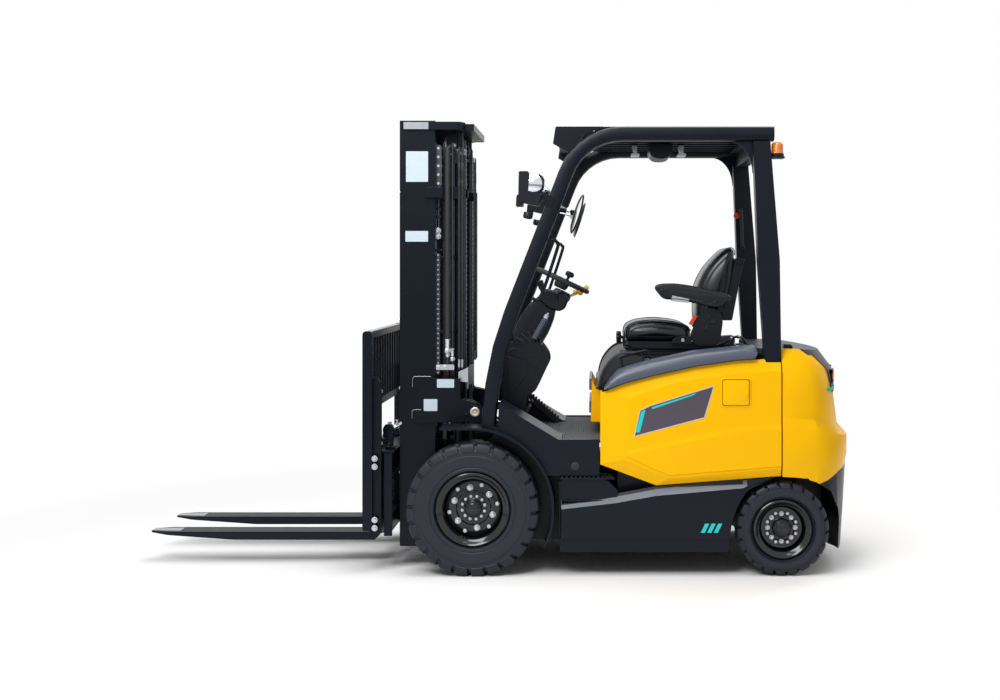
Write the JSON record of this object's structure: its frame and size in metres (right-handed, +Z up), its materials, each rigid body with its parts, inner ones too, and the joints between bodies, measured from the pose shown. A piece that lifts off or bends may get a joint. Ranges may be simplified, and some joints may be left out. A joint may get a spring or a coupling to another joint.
{
  "type": "counterbalance forklift truck",
  "caption": "Four-wheel battery-electric counterbalance forklift with a two-stage mast, side-shifting fork carriage, overhead guard and seat on a lifting battery hood.",
  "frame": {"origin": "on the ground below the middle of the overall length and width", "axes": "+X forward along the forks, +Y to the driver's left, +Z up"},
  "size_m": [3.61, 1.15, 2.263],
  "materials": {
    "yellow_paint": "gloss powder coat",
    "black_paint": "satin black paint",
    "steel": "bare steel",
    "chrome": "hard chromed rod",
    "grey_trim": "moulded grey trim",
    "floor_mat": "ribbed rubber mat",
    "vinyl": "black seat vinyl",
    "tyre_rubber": "solid rubber",
    "lamp_lens": "clear lamp lens and reflector",
    "mirror_glass": "convex mirror",
    "amber_lens": "amber lens",
    "black_plastic": "moulded black plastic"
  },
  "bodies": {
    "chassis": {"main_frame": "black_paint", "drive_axle": "black_paint", "steer_axle": "black_paint", "battery_block": "steel", "floor_plate": "floor_mat", "seat_front_panel": "yellow_paint", "dash_cowl": "black_plastic", "left_fender": "black_paint", "right_fender": "black_paint", "left_side_skirt": "black_paint", "right_side_skirt": "black_paint", "left_body_panel": "yellow_paint", "right_body_panel": "yellow_paint", "counterweight": "yellow_paint", "rear_cover": "grey_trim", "rear_bumper": "black_paint", "left_guard_rail": "black_paint", "right_guard_rail": "black_paint", "rear_hoop": "black_paint", "roof_guard": "black_paint", "left_headlamp": "lamp_lens", "right_headlamp": "lamp_lens", "left_mirror": "mirror_glass", "right_mirror": "mirror_glass", "beacon": "amber_lens", "steering_column": "black_plastic", "pedals": "black_paint"},
    "battery_hood": {"hood": "grey_trim", "seat_base": "black_plastic", "seat_cushion": "vinyl", "seat_backrest": "vinyl", "armrest": "vinyl"},
    "charge_door": {"charge_flap": "yellow_paint"},
    "steering_hand_wheel": {"steering_wheel": "black_plastic"},
    "mast_outer": {"outer_mast": "black_paint"},
    "mast_inner": {"inner_mast": "black_paint", "lift_chains": "steel"},
    "fork_carriage": {"carriage": "black_paint"},
    "shifter": {"side_shifter": "black_paint", "load_backrest": "black_paint"},
    "fork_left": {"left_fork": "black_paint"},
    "fork_right": {"right_fork": "black_paint"},
    "tilt_barrel_left": {"left_tilt_barrel": "black_paint"},
    "tilt_barrel_right": {"right_tilt_barrel": "black_paint"},
    "tilt_rod_left": {"left_tilt_rod": "chrome"},
    "tilt_rod_right": {"right_tilt_rod": "chrome"},
    "knuckle_left": {"left_knuckle": "black_paint"},
    "knuckle_right": {"right_knuckle": "black_paint"},
    "wheel_front_left": {"front_left_tyre": "tyre_rubber", "front_left_rim": "black_paint"},
    "wheel_front_right": {"front_right_tyre": "tyre_rubber", "front_right_rim": "black_paint"},
    "wheel_rear_left": {"rear_left_tyre": "tyre_rubber", "rear_left_rim": "black_paint"},
    "wheel_rear_right": {"rear_right_tyre": "tyre_rubber", "rear_right_rim": "black_paint"}
  },
  "joints": [
    {"name": "mast_tilt", "type": "hinge", "parent": "chassis", "child": "mast_outer", "pos_m": [0.117, 0, 0.3275], "axis": [0, -1, 0], "range_deg": [-6, 10]},
    {"name": "mast_lift", "type": "slide", "parent": "mast_outer", "child": "mast_inner", "axis": [0, 0, 1], "range_m": [-0.05, 1.43]},
    {"name": "carriage_lift", "type": "slide", "parent": "mast_inner", "child": "fork_carriage", "axis": [0, 0, 1], "range_m": [-0.05, 1.43], "deforming": ["lift_chains"]},
    {"name": "side_shift", "type": "slide", "parent": "fork_carriage", "child": "shifter", "axis": [0, 1, 0], "range_m": [-0.1, 0.1]},
    {"name": "left_fork_spread", "type": "slide", "parent": "shifter", "child": "fork_left", "axis": [0, 1, 0], "range_m": [-0.08, 0.18]},
    {"name": "right_fork_spread", "type": "slide", "parent": "shifter", "child": "fork_right", "axis": [0, -1, 0], "range_m": [-0.08, 0.18]},
    {"name": "left_tilt_pivot", "type": "hinge", "parent": "chassis", "child": "tilt_barrel_left", "pos_m": [-0.278, 0.322, 0.622], "axis": [0, -1, 0], "range_deg": [-3, 5]},
    {"name": "left_tilt_stroke", "type": "slide", "parent": "tilt_barrel_left", "child": "tilt_rod_left", "axis": [0.9272, 0, 0.3746], "range_m": [-0.08, 0.05]},
    {"name": "right_tilt_pivot", "type": "hinge", "parent": "chassis", "child": "tilt_barrel_right", "pos_m": [-0.278, -0.322, 0.622], "axis": [0, -1, 0], "range_deg": [-3, 5]},
    {"name": "right_tilt_stroke", "type": "slide", "parent": "tilt_barrel_right", "child": "tilt_rod_right", "axis": [0.9272, 0, 0.3746], "range_m": [-0.08, 0.05]},
    {"name": "left_steer", "type": "hinge", "parent": "chassis", "child": "knuckle_left", "pos_m": [-1.408, 0.37, 0.2285], "axis": [0, 0, 1], "range_deg": [-75, 75]},
    {"name": "right_steer", "type": "hinge", "parent": "chassis", "child": "knuckle_right", "pos_m": [-1.408, -0.37, 0.2285], "axis": [0, 0, 1], "range_deg": [-75, 75]},
    {"name": "hand_wheel_spin", "type": "hinge", "parent": "chassis", "child": "steering_hand_wheel", "pos_m": [-0.313, 0, 1.447], "axis": [-0.4226, 0, 0.9063], "range_deg": [-900, 900]},
    {"name": "front_left_spin", "type": "hinge", "parent": "chassis", "child": "wheel_front_left", "pos_m": [0.117, 0.4875, 0.3275], "axis": [0, 1, 0], "continuous": true},
    {"name": "front_right_spin", "type": "hinge", "parent": "chassis", "child": "wheel_front_right", "pos_m": [0.117, -0.4875, 0.3275], "axis": [0, 1, 0], "continuous": true},
    {"name": "rear_left_spin", "type": "hinge", "parent": "knuckle_left", "child": "wheel_rear_left", "pos_m": [-1.408, 0.4825, 0.2285], "axis": [0, 1, 0], "continuous": true},
    {"name": "rear_right_spin", "type": "hinge", "parent": "knuckle_right", "child": "wheel_rear_right", "pos_m": [-1.408, -0.4825, 0.2285], "axis": [0, 1, 0], "continuous": true},
    {"name": "hood_hinge", "type": "hinge", "parent": "chassis", "child": "battery_hood", "pos_m": [-1.288, 0, 1.128], "axis": [0, -1, 0], "range_deg": [0, 70]},
    {"name": "charge_flap_hinge", "type": "hinge", "parent": "chassis", "child": "charge_door", "pos_m": [-1.111, 0.547, 0.9015], "axis": [0, 0, -1], "range_deg": [0, 110]}
  ],
  "couplings": [
    {"joint": "carriage_lift", "follows": "mast_lift", "ratio": 1},
    {"joint": "left_tilt_pivot", "follows": "mast_tilt", "ratio": 0.4},
    {"joint": "right_tilt_pivot", "follows": "mast_tilt", "ratio": 0.4},
    {"joint": "left_tilt_stroke", "follows": "mast_tilt", "m_per_rad": -0.425},
    {"joint": "right_tilt_stroke", "follows": "mast_tilt", "m_per_rad": -0.425},
    {"joint": "right_steer", "follows": "left_steer", "ratio": 1},
    {"joint": "hand_wheel_spin", "follows": "left_steer", "ratio": -12}
  ]
}
